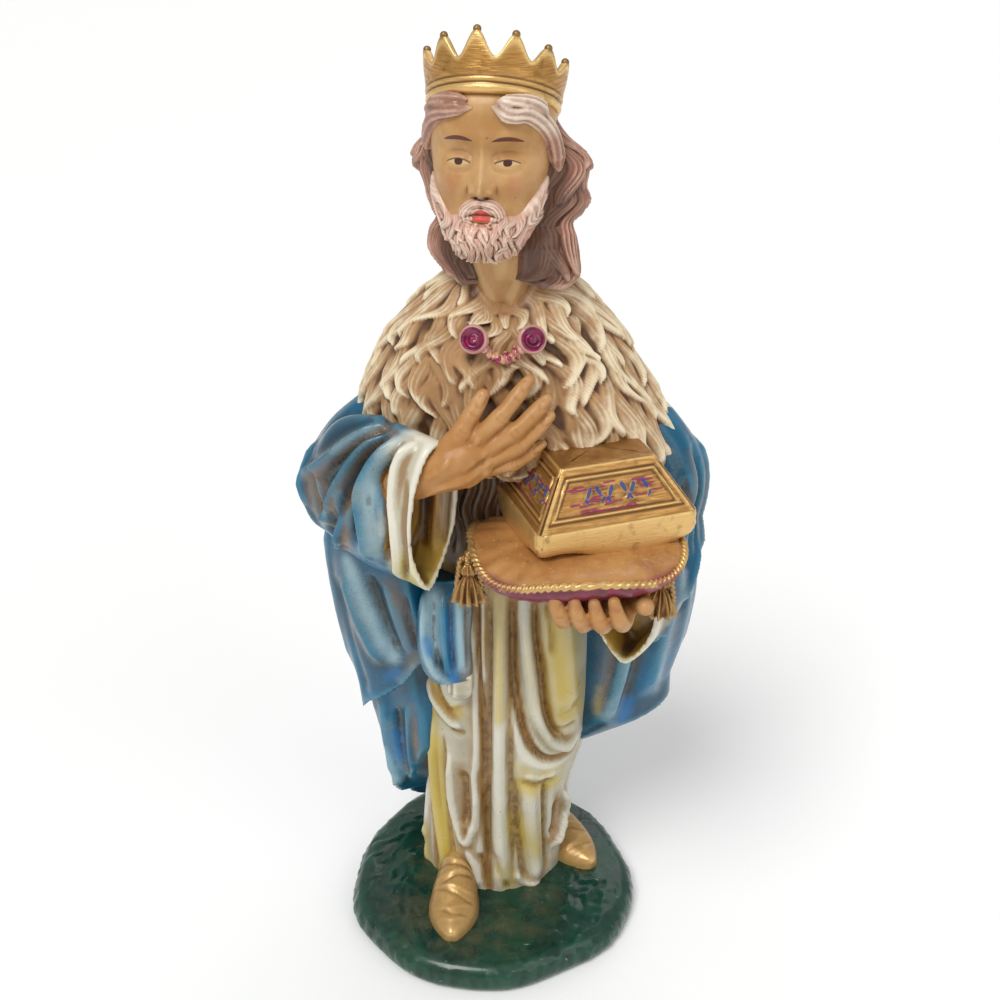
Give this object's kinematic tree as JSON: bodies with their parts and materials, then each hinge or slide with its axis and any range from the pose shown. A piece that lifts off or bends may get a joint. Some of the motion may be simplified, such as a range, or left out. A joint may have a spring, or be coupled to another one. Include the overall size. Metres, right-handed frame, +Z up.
{
  "type": "nativity wise man figurine",
  "caption": "Standing nativity king with crown, beard and fur cape, one hand on his chest, the other holding a casket on a cushion, on a round base.",
  "frame": {"origin": "on the ground at the middle of the flat underside of the base", "axes": "+Z up; the figure looks along -Y, and +X is at its left hand, to the viewer's right"},
  "size_m": [0.1255, 0.1011, 0.2971],
  "materials": {
    "painted_plaster": "cast plaster painted by hand, antiqued with brown and given a semi-gloss lacquer",
    "base_green": "dark green gloss paint with pale scratches",
    "robe_pearl": "pearl white with yellow airbrushing and brown in the folds",
    "cloak_blue": "blue with silver on the folds and tan overspray",
    "fur_cream": "cream over brown, rubbed back on the locks",
    "skin_tan": "tan with a brown wash in the creases",
    "hair_brown": "pinkish brown, paler on the beard",
    "gold_paint": "brushed gold paint, brown in the cuts",
    "jewel_magenta": "magenta gloss"
  },
  "bodies": {
    "root": {"wise_man_figure": "painted_plaster"}
  },
  "joints": []
}
